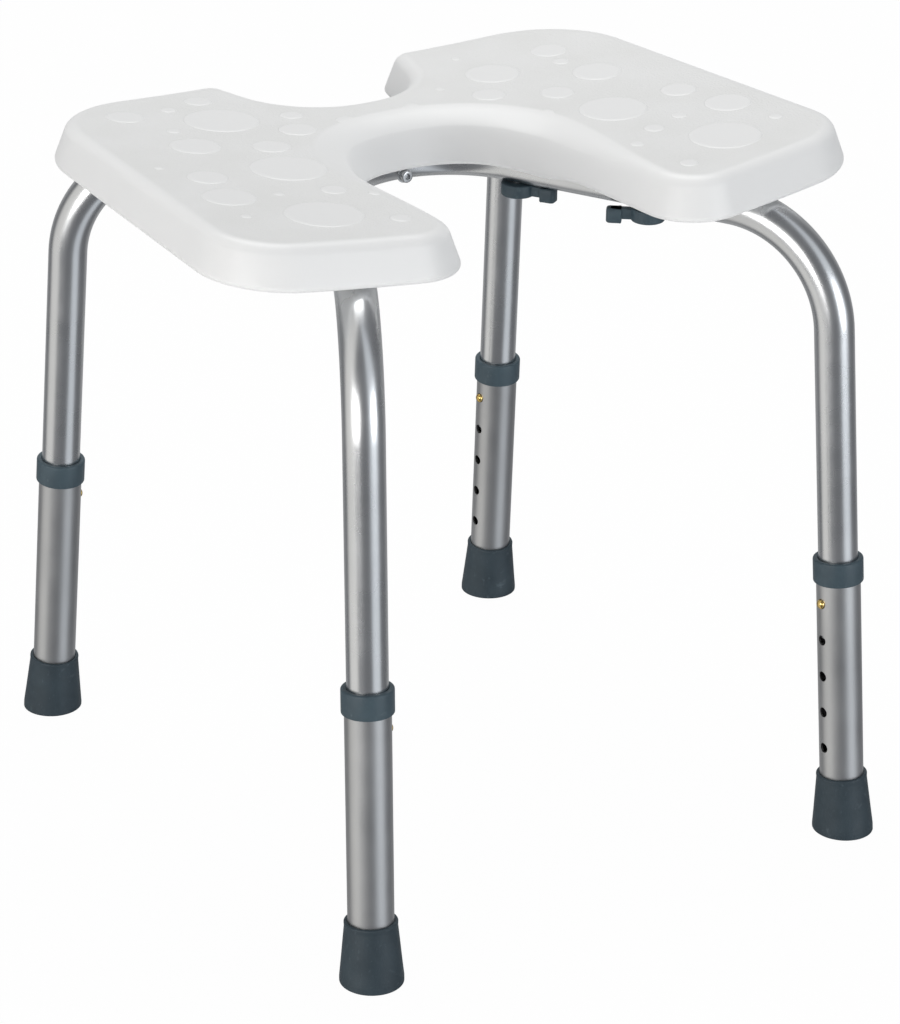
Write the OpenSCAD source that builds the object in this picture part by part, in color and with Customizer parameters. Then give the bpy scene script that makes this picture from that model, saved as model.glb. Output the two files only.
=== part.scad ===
// Shower stool: a dished, U-shaped moulded seat on two curved tubes, bolted back to back,
// with four telescopic legs, spring buttons, rubber feet and four lever locks under the seat.
// X runs across the seat, the open side of the seat faces -Y, and the feet stand on z = 0.

/* [Legs] */
// Half of the distance between the left and right foot centres on the floor
foot_x = 181.6; // [150:0.1:200]
// Half of the distance between the front and rear foot centres on the floor
foot_y = 212.8; // [190:0.1:230]
// Inward lean of each leg across the seat, per unit of height
lean_x = 0.0285; // [0:0.0005:0.05]
// Inward lean of each leg from front to back, per unit of height
lean_y = 0.0785; // [0.02:0.0005:0.1]
// Outer diameter of the upper tubes
tube_d = 25.4; // [22:0.1:27]
// Wall of the upper tubes
tube_wall = 1.25; // [1:0.05:2]
// Wall of the lower tubes
lower_wall = 1.3; // [1:0.05:2]
// Gap all round between an upper tube and the lower tube that slides on it
slide_gap = 0.3; // [0.15:0.05:0.5]
// Length along the leg from the floor to the lower end of an upper tube
upper_end = 138; // [125:1:148]

/* [Height adjustment] */
// Length along the leg from the floor to the highest button hole
top_hole = 162.5; // [158:0.5:166]
// Distance between two button holes
hole_pitch = 25.4; // [20:0.1:26]
// Number of button holes in each lower tube
hole_count = 5; // [2:1:5]
// Diameter of the button holes
hole_d = 6.8; // [5:0.1:8]
// Gap all round between a button and its holes
button_gap = 0.3; // [0.15:0.05:0.5]
// Height of a button above the lower tube
button_proud = 2.6; // [1.5:0.1:3.5]
// Width of the leaf spring behind a button
spring_w = 8; // [5:0.5:9]
// Thickness of the leaf spring
spring_t = 0.7; // [0.4:0.1:1]
// Length of the straight arms of the leaf spring
spring_arm = 34; // [26:1:40]

/* [Collars and feet] */
// Length of a collar
collar_h = 16.2; // [13:0.1:20]
// Length along the leg from the floor to the top of a collar
collar_top = 192; // [186:0.5:197]
// Wall of a collar around the lower tube
collar_wall = 1.9; // [1.2:0.1:3]
// Thickness of the lip of a collar over the end of the lower tube
collar_lip = 3; // [2:0.1:4]
// Gap all round between the lip of a collar and the upper tube
collar_gap = 0.15; // [0.1:0.05:0.4]
// Height of a foot along the leg
foot_h = 40; // [34:0.5:46]
// Diameter of a foot at the floor
foot_d = 39.8; // [36:0.1:44]
// Height of the wide base of a foot
foot_base_h = 13; // [9:0.5:16]
// Diameter of a foot at its top
foot_top_d = 33.4; // [32:0.1:35]
// Thickness of rubber under the steel washer in a foot
foot_sole = 8; // [6:0.5:11]
// Thickness of the steel washer in a foot
washer_t = 1.5; // [1:0.1:2.5]

/* [Tube frame] */
// Height of the middle of the level tubes
tube_z = 412; // [405:0.5:412]
// Radius of the bend from a leg into the level part, at the middle of the tube
bend_r = 75; // [60:1:90]
// Radius of the middle bend of both tubes, at the middle of the tube
apex_r = 73; // [60:1:85]
// Distance behind the origin of the middle bend of the front tube
apex_y = 59.9; // [56:0.1:62]
// Thickness of the saddle between the two tubes at the bolt
saddle_t = 0.8; // [0.5:0.1:2]
// Width of the saddle
saddle_w = 28; // [20:1:34]
// Diameter of the bolt that joins the tubes
bolt_d = 5; // [4:0.5:7]
// Distance of the bolt below the middle of the tubes
bolt_drop = 6; // [2:0.5:7]
// Diameter of the bolt's round head
bolt_head_d = 8.4; // [7:0.1:11]
// Height of the bolt's round head
bolt_head_h = 4; // [3:0.5:5]
// Diameter of the bolt's washers
bolt_washer_d = 10; // [9:0.5:13]
// Thickness of the bolt's washers
bolt_washer_t = 1.2; // [0.8:0.1:2]

/* [Seat] */
// Height of the top of the seat at its middle above the middle of the tubes
seat_over = 30.3; // [28:0.1:36]
// Thickness of the seat
seat_t = 26.5; // [24:0.1:28]
// Rise of the top of the seat at 200 mm from the middle
seat_dish = 9.5; // [4:0.5:12]
// Half width of the seat at its front corners
front_half = 225; // [205:0.1:232]
// Distance of the front outer corners ahead of the origin
front_out = 132; // [125:1:138]
// Half width of the opening at the tips of the wings
tip_half = 81; // [74:0.5:86]
// Distance of the tips of the wings ahead of the origin
tip_out = 152; // [145:1:156]
// Half width of the opening at its closed end
bay_half = 69.6; // [66:0.1:76]
// Distance of the closed end of the opening behind the origin
bay_y = 52.7; // [48:0.1:54]
// Half width of the seat at its rear corners
rear_half = 201.5; // [185:0.5:208]
// Distance of the rear outer corners behind the origin
rear_out = 161; // [145:1:166]
// Half width of the rear recess at the rear edge
recess_half = 69.5; // [66:0.1:82]
// Distance of the rear edge beside the recess behind the origin
recess_out = 171; // [158:1:176]
// Half width of the rear recess at its bottom
recess_floor_half = 50.5; // [48:0.1:60]
// Distance of the bottom of the rear recess behind the origin
recess_y = 95.5; // [88:0.5:98]
// Slope of the skirt of the seat away from upright, in degrees
skirt_draft = 20; // [12:1:22]
// Rounding of the top edge of the seat
edge_r = 9; // [6:0.5:10]
// Rounding of the bottom edge of the seat
rim_r = 3; // [2:0.5:4]
// Width of the sloping band round the opening
band_w = 11; // [6:0.5:14]
// Fall of the sloping band round the opening
band_fall = 3; // [1:0.5:5]
// Depth of the lip round the closed end of the opening, below the underside
bay_drop = 5.7; // [3:0.1:8]

/* [Lever locks] */
// Distance of the inner locks from the middle bend, along the front tube
lock_inner = 6; // [5:0.5:12]
// Distance between the two locks on one side
lock_pitch = 94; // [80:1:100]
// Diameter of the stud of a lock
stud_d = 6; // [5:0.5:7]
// Gap all round between a stud and the holes in the tube
stud_gap = 0.3; // [0.2:0.05:0.5]
// Diameter of the hub of a lock
hub_d = 22; // [19:0.5:25]
// Height of the hub of a lock
hub_h = 8.5; // [7:0.5:11]
// Reach of a lever from its stud
lever_reach = 26.5; // [23:0.5:32]
// Width of a lever at its end
lever_w = 9; // [7:0.5:11]
// Angle of the inner levers from the front, on the right side, in degrees
lever_inner_turn = 34; // [0:1:60]
// Angle of the outer levers from the rear, on the right side, in degrees
lever_outer_turn = 52; // [30:1:90]
// Length of the brass inserts in the seat
insert_h = 8; // [6:0.5:9]
// Diameter of the brass inserts in the seat
insert_d = 9; // [8:0.5:10]

/* [Hidden] */

// Corners of the stool as signs of x and y
front_left = [-1, -1];
front_right = [1, -1];
rear_left = [-1, 1];
rear_right = [1, 1];
left = -1;
right = 1;

// Tube radii
tube_r = tube_d / 2;
tube_bore_r = tube_r - tube_wall;
lower_bore_r = tube_r + slide_gap;
lower_r = lower_bore_r + lower_wall;
collar_r = lower_r + collar_wall;

// Leg directions: length along the leg for each unit of height, and the two tilts
stretch = norm([lean_x, lean_y, 1]);
tilt_x = asin(lean_y / stretch);
tilt_y = atan(lean_x);
// Levels along the leg
tube_foot = foot_sole + washer_t;
lower_top = collar_top - collar_lip;
corner_level = tube_z * stretch;

// Points where a leg's axis meets the level tubes' height, in the right rear quarter
corner = [foot_x - lean_x * tube_z, foot_y - lean_y * tube_z];
// The two tubes in a frame where their legs are at +Y: place of the middle bend
front_apex = -apex_y;
rear_apex = apex_y + tube_d + saddle_t;

// Tangent from the corner to the circle of the middle bend
function apex_centre(apex) = [0, apex + apex_r];
function tangent_length(apex) =
    sqrt(pow(norm(corner - apex_centre(apex)), 2) - pow(apex_r, 2));
function tube_angle(apex) =
    let (d = corner - apex_centre(apex))
    atan2(d[1], d[0]) + asin(apex_r / norm(d));
// Turn from the level part into the leg, and the roll of its plane
function bend_turn(apex) =
    let (a = tube_angle(apex))
    acos((lean_x * cos(a) + lean_y * sin(a)) / stretch);
function bend_roll(apex) =
    let (a = tube_angle(apex))
    atan(lean_y * cos(a) - lean_x * sin(a));
function bend_tangent(apex) = bend_r * tan(bend_turn(apex) / 2);

bend_thinning = 0.02;
bend_overlap = 0.4;

// Seat surfaces
dish_reach = 200;
function dish(x) = seat_dish * pow(x / dish_reach, 2);
seat_top = tube_z + seat_over;
groove_gap = 0.2;
groove_top = tube_z + tube_r + groove_gap;

// Lock places
lock_from_corner = tangent_length(front_apex) - lock_inner;
function lock_place(side, outer) =
    let (a = tube_angle(front_apex),
         run = lock_from_corner - (outer ? lock_pitch : 0))
    [side * (corner[0] - run * cos(a)), -(corner[1] - run * sin(a))];
tube_under = tube_z - tube_r;
hub_clear = 0.4;
hub_top = tube_under - hub_clear;
stud_top = groove_top + insert_h - 1;
insert_gap = 0.05;

// ---------- Small shapes ----------

// Puts its children on a leg: z runs up the leg from the floor, x faces the button
module on_leg(c)
    translate([c[0] * foot_x, c[1] * foot_y, 0])
        rotate([c[1] * tilt_x, -c[0] * tilt_y, 0])
            rotate([0, 0, c[0] > 0 ? 180 : 0])
                children();

// A ring between two levels
module ring(r_out, r_in, z0, z1, fn = 96)
    rotate_extrude($fn = fn)
        translate([r_in, z0])
            square([r_out - r_in, z1 - z0]);

// Rectangle with rounded corners, placed by its lower left corner
module round_rect(w, h, r)
    union() {
        translate([r, 0]) square([w - 2 * r, h]);
        translate([0, r]) square([w, h - 2 * r]);
        for (x = [r, w - r], y = [r, h - r])
            translate([x, y]) circle(r = r, $fn = 48);
    }

// ---------- Tube frame ----------

// Level straight, lower bend and leg of one side of a bent tube. The bends are a hair thinner
// than the straights, as drawn tube is, and run a little way into them. A bore runs past the
// end of the leg.
module side_bar(apex, r, past) {
    a = tube_angle(apex);
    run = tangent_length(apex);
    turn = bend_turn(apex);
    reach = bend_tangent(apex);
    leg = corner_level - reach - upper_end + past;
    sweep = turn + 2 * bend_overlap / bend_r * 180 / PI;
    translate([corner[0], corner[1], tube_z])
        rotate([0, 0, a])
            rotate([bend_roll(apex), 0, 0]) {
                translate([-run, 0, 0]) rotate([0, 90, 0])
                    cylinder(r = r, h = run - reach, $fn = 96);
                translate([-reach, 0, -bend_r]) rotate([90, 0, 0])
                    rotate([0, 0, 90 - turn / 2 - sweep / 2])
                        rotate_extrude(angle = sweep, $fn = 120)
                            translate([bend_r, 0]) circle(r = r - bend_thinning, $fn = 96);
                translate([-reach + bend_r * sin(turn), 0, -bend_r + bend_r * cos(turn)])
                    rotate([0, 90 + turn, 0])
                        cylinder(r = r, h = leg, $fn = 96);
            }
}

// Middle bend of a tube
module apex_bar(apex, r, fn = 96) {
    sweep = 2 * (tube_angle(apex) + bend_overlap / apex_r * 180 / PI);
    translate([0, apex + apex_r, tube_z])
        rotate([0, 0, -90 - sweep / 2])
            rotate_extrude(angle = sweep, $fn = 1.25 * fn)
                translate([apex_r, 0]) circle(r = r - bend_thinning, $fn = fn);
}

// A whole bent tube of radius r, as a solid bar
module bent_bar(apex, r, past = 0) {
    apex_bar(apex, r);
    side_bar(apex, r, past);
    mirror([1, 0, 0]) side_bar(apex, r, past);
}

module front_place() rotate([0, 0, 180]) children();

// Bore for the bolt that joins the tubes
module bolt_bore(d)
    translate([0, 0, bolt_z]) rotate([90, 0, 0])
        cylinder(d = d, h = 4 * foot_y, center = true, $fn = 48);

// Button holes of the upper tube, in the side that faces the middle
module upper_button_hole(c)
    on_leg(c) translate([tube_bore_r / 2, 0, top_hole]) rotate([0, 90, 0])
        cylinder(d = hole_d, h = tube_r, $fn = 48);

module front_tube()
    color([0.76, 0.77, 0.78])
        difference() {
            front_place() bent_bar(front_apex, tube_r);
            front_place() bent_bar(front_apex, tube_bore_r, tube_wall);
            bolt_bore(bolt_d + bolt_clear);
            for (side = [left, right], outer = [false, true])
                translate(concat(lock_place(side, outer), tube_z))
                    cylinder(d = stud_d + 2 * stud_gap, h = 2 * tube_d, center = true, $fn = 48);
            upper_button_hole(front_left);
            upper_button_hole(front_right);
        }

module rear_tube()
    color([0.76, 0.77, 0.78])
        difference() {
            bent_bar(rear_apex, tube_r);
            bent_bar(rear_apex, tube_bore_r, tube_wall);
            bolt_bore(bolt_d + bolt_clear);
            upper_button_hole(rear_left);
            upper_button_hole(rear_right);
        }

// Saddle that keeps the two round tubes apart and in line at the bolt
saddle_h = 13.5;
saddle_seat_r = tube_r + 0.04;
saddle_facets = 240;
module tube_saddle()
    color([0.2, 0.24, 0.27])
        difference() {
            translate([-saddle_w / 2, apex_y, bolt_z - saddle_h / 2])
                cube([saddle_w, tube_d + saddle_t, saddle_h]);
            front_place() apex_bar(front_apex, saddle_seat_r, saddle_facets);
            apex_bar(rear_apex, saddle_seat_r, saddle_facets);
            bolt_bore(bolt_d + bolt_clear);
        }

// Bolt, washers and nut along Y. The flat washers bear on the hollow side of each bend, at
// their edges.
bolt_z = tube_z - bolt_drop;
bolt_clear = 0.4;
bend_hollow_r = apex_r - tube_r;
washer_stand = bend_hollow_r - sqrt(pow(bend_hollow_r, 2) - pow(bolt_washer_d / 2, 2));
bolt_front = apex_y - tube_r - washer_stand;
bolt_rear = rear_apex + tube_r + washer_stand;
bolt_tail = 2;
bolt_head_round = 1.2;
key_across = 4;
key_depth = 2;
nut_h = 4.5;
nut_across = 8;
nut_chamfer = 1;
thread_clear = 0.04;

module centre_bolt()
    color([0.72, 0.73, 0.75])
        translate([0, bolt_front - bolt_washer_t, bolt_z]) rotate([-90, 0, 0]) {
            cylinder(d = bolt_d,
                     h = bolt_rear - bolt_front + 2 * bolt_washer_t + nut_h + bolt_tail,
                     $fn = 48);
            difference() {
                translate([0, 0, -bolt_head_h])
                    rotate_extrude($fn = 72) bolt_head_half();
                translate([0, 0, -bolt_head_h - 1])
                    cylinder(d = key_across / cos(30), h = key_depth + 1, $fn = 6);
            }
        }

// Half section of the round bolt head
module bolt_head_half()
    intersection() {
        square([bolt_head_d / 2, bolt_head_h]);
        union() {
            translate([0, bolt_head_round])
                square([bolt_head_d / 2, bolt_head_h - bolt_head_round]);
            translate([bolt_head_d / 2 - bolt_head_round, bolt_head_round])
                circle(r = bolt_head_round, $fn = 48);
            square([bolt_head_d / 2 - bolt_head_round, bolt_head_h]);
        }
    }

module centre_washers()
    color([0.72, 0.73, 0.75])
        for (y = [bolt_front - bolt_washer_t, bolt_rear])
            translate([0, y, bolt_z]) rotate([-90, 0, 0])
                ring(bolt_washer_d / 2, (bolt_d + bolt_clear) / 2, 0, bolt_washer_t);

module centre_nut()
    color([0.72, 0.73, 0.75])
        translate([0, bolt_rear + bolt_washer_t, bolt_z]) rotate([-90, 0, 0])
            difference() {
                union() {
                    cylinder(d = nut_across / cos(30), h = nut_h - nut_chamfer, $fn = 6);
                    cylinder(d = nut_across - 1, h = nut_h, $fn = 60);
                }
                translate([0, 0, -1])
                    cylinder(d = bolt_d + thread_clear, h = nut_h + 2, $fn = 48);
            }

// ---------- Legs ----------

module lower_tube(c)
    color([0.8, 0.81, 0.82])
        on_leg(c)
            difference() {
                ring(lower_r, lower_bore_r, tube_foot, lower_top);
                for (i = [0 : hole_count - 1])
                    translate([0, 0, top_hole - i * hole_pitch]) rotate([0, 90, 0])
                        cylinder(d = hole_d, h = 2 * lower_r, $fn = 48);
            }

// Plastic collar that caps a lower tube and guides the upper one
collar_round = 1.4;
collar_fit = 0.02;
module collar(c)
    color([0.25, 0.32, 0.37])
        on_leg(c)
            rotate_extrude($fn = 96)
                difference() {
                    translate([0, collar_top - collar_h])
                        round_rect(collar_r, collar_h, collar_round);
                    translate([0, collar_top - collar_h - 1])
                        square([lower_r + collar_fit, collar_h - collar_lip + 1]);
                    translate([0, collar_top - collar_h - 1])
                        square([tube_r + collar_gap, collar_h + 2]);
                }

// Half section of a rubber foot, from below the floor to its rounded top
foot_rim = 1.2;
foot_band = 2.5;
foot_taper = 1.1;
foot_under = 6;
foot_fit = 0.02;
module foot_half() {
    base_r = foot_d / 2;
    rim_x = (foot_top_d - foot_rim) / 2;
    difference() {
        union() {
            polygon([[0, -foot_under], [base_r, -foot_under], [base_r, foot_band],
                     [base_r - foot_taper, foot_base_h],
                     [rim_x + foot_rim, foot_h - foot_rim], [rim_x, foot_h], [0, foot_h]]);
            translate([rim_x, foot_h - foot_rim]) circle(r = foot_rim, $fn = 48);
        }
        translate([-1, foot_sole]) square([lower_r + foot_fit + 1, foot_h]);
    }
}

module foot(c)
    color([0.25, 0.32, 0.37])
        difference() {
            on_leg(c) rotate_extrude($fn = 96) foot_half();
            translate([c[0] * foot_x, c[1] * foot_y, -foot_d])
                cube(2 * foot_d, center = true);
        }

// Steel washer in a foot, under the end of the lower tube
washer_hole_r = 6;
module foot_washer(c)
    color([0.7, 0.71, 0.72])
        on_leg(c) ring(lower_bore_r, washer_hole_r, foot_sole, foot_sole + washer_t);

// Distance from the middle of the tube to the outside of the leaf spring
spring_clear = 0.1;
spring_x = sqrt(pow(tube_bore_r, 2) - pow(spring_w / 2, 2)) - spring_clear;
spring_under = 8;
tenon_d = 2.6;
tenon_head = 0.6;
button_r = hole_d / 2 - button_gap;
button_dome = 1.6;

// Brass button with a domed end, and the tenon that rivets it to its spring
module snap_button(c) {
    reach = lower_r + button_proud;
    on_leg(c) color([0.78, 0.62, 0.25])
        translate([0, 0, top_hole]) rotate([0, 90, 0]) {
            translate([0, 0, spring_x])
                cylinder(r = button_r, h = reach - spring_x - button_dome, $fn = 48);
            translate([0, 0, reach - button_dome]) dome(button_r, button_dome);
            translate([0, 0, spring_x - spring_t - tenon_head])
                cylinder(d = tenon_d, h = spring_t + tenon_head + 1, $fn = 32);
        }
}

// Low dome of a given foot radius and height
module dome(r, h) {
    ball = (r * r + h * h) / (2 * h);
    intersection() {
        translate([0, 0, h - ball]) sphere(r = ball, $fn = 96);
        cylinder(r = r, h = h + 1, $fn = 48);
    }
}

// Leaf spring bent to a U that stands in the upper tube
module button_spring(c)
    color([0.66, 0.67, 0.68])
        on_leg(c)
            difference() {
                translate([0, spring_w / 2, top_hole - spring_under]) rotate([90, 0, 0])
                    linear_extrude(spring_w) spring_side();
                translate([0, 0, top_hole]) rotate([0, 90, 0])
                    cylinder(d = tenon_d + 2 * spring_clear, h = tube_d, $fn = 32);
            }

module spring_side() {
    for (s = [left, right])
        translate([s > 0 ? spring_x - spring_t : -spring_x, 0])
            square([spring_t, spring_arm]);
    translate([0, spring_arm])
        intersection() {
            difference() {
                circle(r = spring_x, $fn = 96);
                circle(r = spring_x - spring_t, $fn = 96);
            }
            translate([-spring_x, 0]) square([2 * spring_x, spring_x]);
        }
}

// ---------- Lever locks ----------

// Puts its children on a lock: z is the world's, x points along the lever
module on_lock(side, outer) {
    place = lock_place(side, outer);
    turn = outer ? 90 + lever_outer_turn : -90 + lever_inner_turn;
    translate([place[0], place[1], 0])
        rotate([0, 0, side > 0 ? turn : 180 - turn])
            children();
}

// Lever: a round hub, a narrower arm and a thumb pad that hangs a little below them
hub_bottom = hub_top - hub_h;
stud_under = hub_bottom + 2;
arm_set = 0.8;
arm_share = 0.7;
pad_length = 10;
pad_drop = 1.8;
lever_round = 3;
module lever(side, outer)
    color([0.25, 0.32, 0.37])
        on_lock(side, outer)
            difference() {
                union() {
                    translate([0, 0, hub_bottom]) cylinder(d = hub_d, h = hub_h, $fn = 96);
                    translate([0, 0, hub_bottom + arm_set]) linear_extrude(hub_h - 2 * arm_set)
                        lever_plan(lever_reach, lever_w * arm_share);
                    translate([0, 0, hub_bottom - pad_drop])
                        linear_extrude(hub_h + pad_drop - arm_set)
                        intersection() {
                            lever_plan(lever_reach, lever_w);
                            translate([lever_reach - pad_length, -lever_w])
                                square([pad_length + 1, 2 * lever_w]);
                        }
                }
                translate([0, 0, stud_under]) cylinder(d = stud_d, h = hub_h, $fn = 48);
            }

// Bar with a round end, from the stud out to the end of the lever
module lever_plan(reach, w) {
    r = min(w / 2 - 0.2, lever_round);
    translate([0, -w / 2]) square([reach - r, w]);
    translate([reach - 3 * r, -w / 2]) round_rect(3 * r, w, r);
}

module stud(side, outer)
    color([0.7, 0.71, 0.72])
        on_lock(side, outer)
            translate([0, 0, stud_under])
                cylinder(d = stud_d, h = stud_top - stud_under, $fn = 48);

// Brass inserts with the thread for the studs, pressed into the seat
insert_fit = 0.04;
module seat_inserts()
    color([0.78, 0.62, 0.25])
        for (side = [left, right], outer = [false, true])
            translate(concat(lock_place(side, outer), 0))
                ring(insert_d / 2, stud_d / 2 + insert_gap, groove_top, groove_top + insert_h);

// ---------- Seat ----------

// Corners of the right half of the seat's outline, clockwise from the rear: x, y, radius, and
// how far the sloping band of the opening is developed there
outline_corners = [
    [0, recess_y, 0, 0],
    [recess_floor_half, recess_y, 60, 0],
    [recess_half, recess_out, 10, 0],
    [rear_half, rear_out, 70, 0],
    [front_half, -front_out, 42, 0],
    [tip_half, -tip_out, 28, 0],
    [bay_half, bay_y, bay_half - 1, 1],
    [0, bay_y, 0, 1]
];

function unit(v) = v / norm(v);
function left_of(v) = [-v[1], v[0]];
function flat(v) = [v[0], v[1]];
function turn_at(a, b, c) =
    let (u = unit(b - a), w = unit(c - b))
    atan2(u[0] * w[1] - u[1] * w[0], u * w);
function corner_reach(a, b, c, r) = r * tan(abs(turn_at(a, b, c)) / 2);

// Points on the rounding of corner i, each with its outward normal and its band share
function rounding(list, i) =
    let (a = flat(list[i - 1]), b = flat(list[i]), c = flat(list[i + 1]),
         r = list[i][2],
         turn = turn_at(a, b, c),
         bulge = turn < 0 ? 1 : -1,
         start = b - unit(b - a) * corner_reach(a, b, c, r),
         n = left_of(unit(b - a)),
         middle = start - bulge * r * n,
         n_angle = atan2(n[1], n[0]),
         steps = max(5, ceil(abs(turn) / 8)))
    [for (k = [0 : steps])
        let (t = n_angle + turn * k / steps, d = [cos(t), sin(t)])
        [middle + bulge * r * d, d, list[i][3]]];

// Points between two roundings, about 25 mm apart, with the band share passing smoothly
function straight(p, q) =
    let (steps = max(1, round(norm(q[0] - p[0]) / 25)))
    [for (k = [1 : 1 : steps - 1])
        let (t = k / steps)
        [p[0] + (q[0] - p[0]) * t, p[1], p[2] + (q[2] - p[2]) * t * t * (3 - 2 * t)]];

arcs = [for (i = [1 : len(outline_corners) - 2]) rounding(outline_corners, i)];
rear_mid = [flat(outline_corners[0]), [0, 1], 0];
bay_mid = [[0, bay_y], [0, -1], 1];
right_half = concat(
    [rear_mid],
    [for (i = [0 : len(arcs) - 1], p = concat(
        i == 0 ? [] : straight(arcs[i - 1][len(arcs[i - 1]) - 1], arcs[i][0]),
        arcs[i])) p],
    [bay_mid]);
half_count = len(right_half);
// The whole outline: the right half, then the left half back to the start
outline = concat(
    right_half,
    [for (i = [half_count - 2 : -1 : 1])
        let (p = right_half[i])
        [[-p[0][0], p[0][1]], [-p[1][0], p[1][1]], p[2]]]);

// Section of the seat's edge: offset outward from the outline, and depth below the top.
// Round the closed end of the opening it hangs below the underside as a lip.
lip_flat = 1.2;
lip_fade = 8;
function edge_section(w) =
    let (r = edge_r,
         fall = band_fall * w,
         lead = r * tan((90 - skirt_draft) / 2),
         depth = seat_t + bay_drop * pow(w, lip_fade),
         rim = depth * tan(skirt_draft) - rim_r * tan((90 + skirt_draft) / 2))
    concat(
        [for (k = [0 : 5])
            let (t = 90 - (90 - skirt_draft) * k / 5, share = 1 - k / 5)
            [-lead + r * cos(t) - band_w * w * share, r - r * sin(t) + fall * (1 - share)]],
        [for (k = [0 : 5])
            let (t = skirt_draft - (90 + skirt_draft) * k / 5)
            [rim + rim_r * cos(t), depth - rim_r - rim_r * sin(t)]],
        [[rim - lip_flat, depth], [rim - lip_flat - bay_drop, seat_t]]);

section_count = len(edge_section(0));
outline_count = len(outline);
seat_points = [
    for (k = [0 : section_count - 1], p = outline)
        let (s = edge_section(p[2])[k], q = p[0] + p[1] * s[0])
        [q[0], q[1], seat_top + dish(q[0]) - s[1]]];

function ring_point(k, i) = k * outline_count + (i % outline_count);
skirt_faces = [
    for (k = [0 : section_count - 2], i = [0 : outline_count - 1], half = [0, 1])
        half == 0
            ? [ring_point(k, i + 1), ring_point(k, i), ring_point(k + 1, i)]
            : [ring_point(k, i + 1), ring_point(k + 1, i), ring_point(k + 1, i + 1)]];

// The top and the underside are strips that run from the rear edge to the front edge
function outer_index() =
    let (xs = [for (p = right_half) p[0][0]])
    search(max(xs), xs)[0];
strip_end = outer_index();
function strip(i, j) =
    i == strip_end && j == strip_end ? [] :
    let (rear = j == strip_end
             || (i < strip_end && right_half[i + 1][0][0] <= right_half[j - 1][0][0]))
    concat([rear ? [i, i + 1, j] : [i, j - 1, j]], strip(rear ? i + 1 : i, rear ? j : j - 1));
right_strip = strip(0, half_count - 1);
left_strip = [for (f = right_strip) [outline_count - f[0], outline_count - f[2], outline_count - f[1]]];
cover = [for (f = concat(right_strip, left_strip)) [for (i = f) i % outline_count]];
last_ring = (section_count - 1) * outline_count;
seat_faces = concat(
    cover,
    skirt_faces,
    [for (f = cover) [last_ring + f[0], last_ring + f[2], last_ring + f[1]]]);

// Room in the lip for the front washer and the head of the bolt
bolt_room_gap = 0.5;
module bolt_room()
    translate([0, bolt_front - bolt_washer_t, bolt_z]) rotate([90, 0, 0]) {
        translate([0, 0, -tube_r])
            cylinder(d = bolt_washer_d + 2 * bolt_room_gap, h = tube_r + bolt_room_gap,
                     $fn = 72);
        cylinder(d = bolt_head_d + 2 * bolt_room_gap, h = apex_y, $fn = 72);
    }

module seat()
    color([0.93, 0.93, 0.92])
        difference() {
            polyhedron(points = seat_points, faces = seat_faces);
            bolt_room();
            front_place() bent_bar(front_apex, tube_r + groove_gap);
            bent_bar(rear_apex, tube_r + groove_gap);
            for (side = [left, right], outer = [false, true])
                translate(concat(lock_place(side, outer), tube_z))
                    cylinder(d = insert_d + insert_fit, h = groove_top - tube_z + insert_h,
                             $fn = 48);
        }

seat();
seat_inserts();
front_tube();
rear_tube();
tube_saddle();
centre_bolt();
centre_washers();
centre_nut();
lower_tube(front_left);  // lower_tube_front_left
lower_tube(front_right);  // lower_tube_front_right
lower_tube(rear_left);  // lower_tube_rear_left
lower_tube(rear_right);  // lower_tube_rear_right
collar(front_left);  // collar_front_left
collar(front_right);  // collar_front_right
collar(rear_left);  // collar_rear_left
collar(rear_right);  // collar_rear_right
foot(front_left);  // foot_front_left
foot(front_right);  // foot_front_right
foot(rear_left);  // foot_rear_left
foot(rear_right);  // foot_rear_right
foot_washer(front_left);  // foot_washer_front_left
foot_washer(front_right);  // foot_washer_front_right
foot_washer(rear_left);  // foot_washer_rear_left
foot_washer(rear_right);  // foot_washer_rear_right
snap_button(front_left);  // button_front_left
snap_button(front_right);  // button_front_right
snap_button(rear_left);  // button_rear_left
snap_button(rear_right);  // button_rear_right
button_spring(front_left);  // button_spring_front_left
button_spring(front_right);  // button_spring_front_right
button_spring(rear_left);  // button_spring_rear_left
button_spring(rear_right);  // button_spring_rear_right
lever(left, false);  // lever_inner_left
lever(right, false);  // lever_inner_right
lever(left, true);  // lever_outer_left
lever(right, true);  // lever_outer_right
stud(left, false);  // stud_inner_left
stud(right, false);  // stud_inner_right
stud(left, true);  // stud_outer_left
stud(right, true);  // stud_outer_right
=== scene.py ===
import math

import bmesh
import bpy
import numpy as np
from mathutils import Matrix, Vector
from mathutils.geometry import delaunay_2d_cdt


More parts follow.
